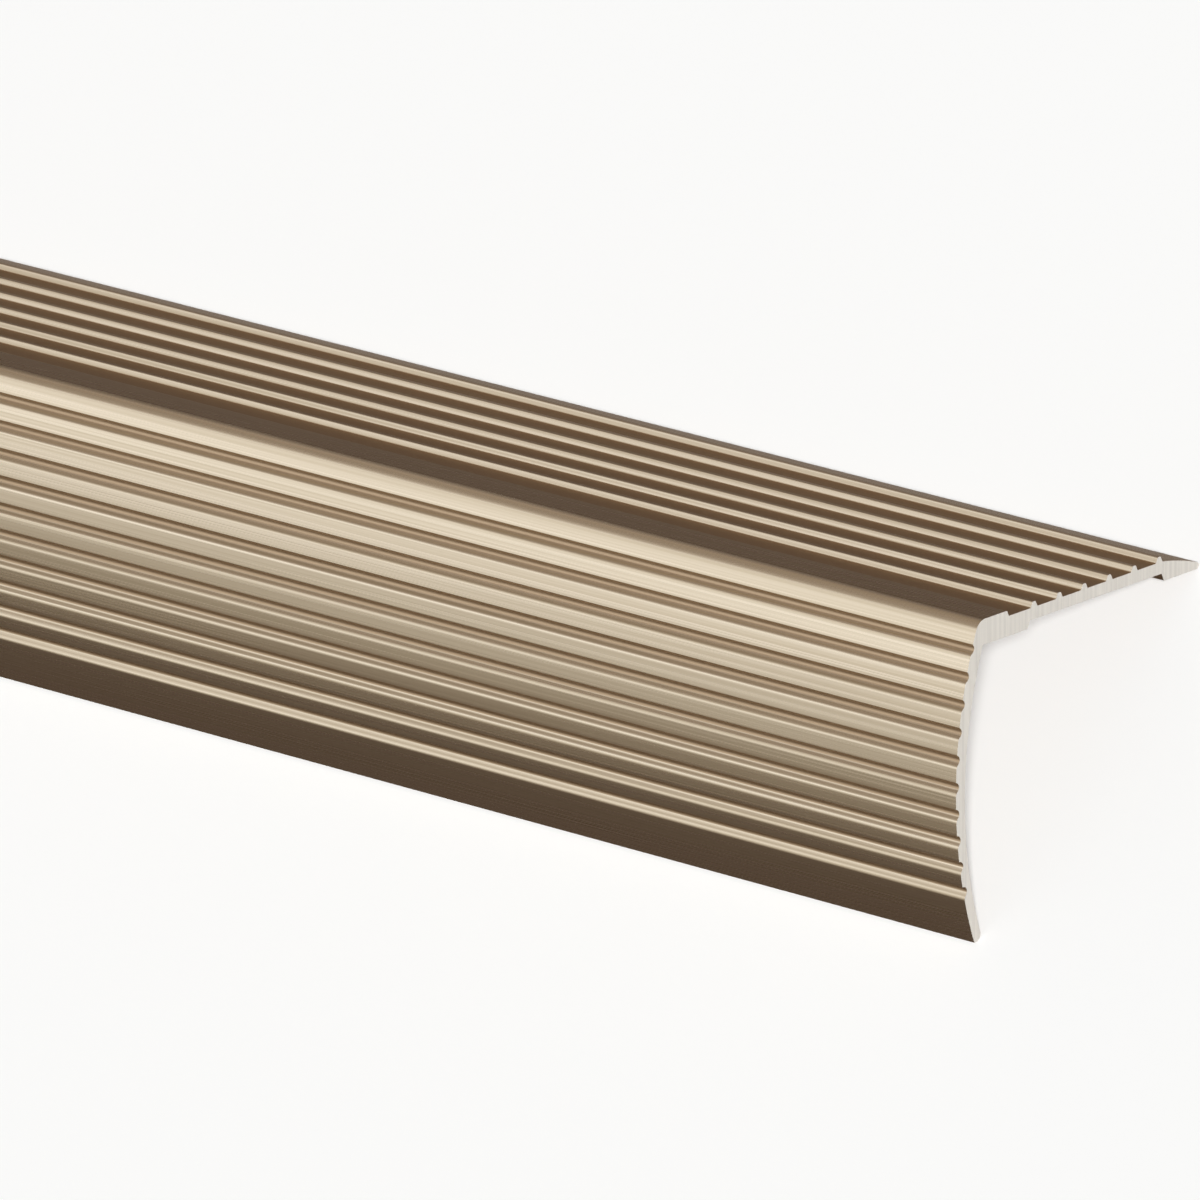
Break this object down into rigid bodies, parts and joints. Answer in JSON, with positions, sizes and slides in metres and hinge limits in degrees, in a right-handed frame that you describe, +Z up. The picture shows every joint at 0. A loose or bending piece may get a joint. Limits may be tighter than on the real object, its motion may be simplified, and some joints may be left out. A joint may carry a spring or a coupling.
{
  "type": "stair nosing",
  "caption": "One-piece extruded aluminium stair nosing with a ribbed tread, a tape recess under it and a bowed, grooved front leg that wraps the edge of a step.",
  "frame": {"origin": "on the floor, in the middle of the footprint, with the piece lying on the tip of its leg and the back edge of its tread", "axes": "+X along the length, +Y from the leg towards the back edge of the tread, +Z up"},
  "size_m": [0.9, 0.063, 0.0332],
  "materials": {
    "anodised_aluminium": "satin champagne anodised, with bare saw-cut ends"
  },
  "bodies": {
    "root": {"nosing_profile": "anodised_aluminium"}
  },
  "joints": []
}
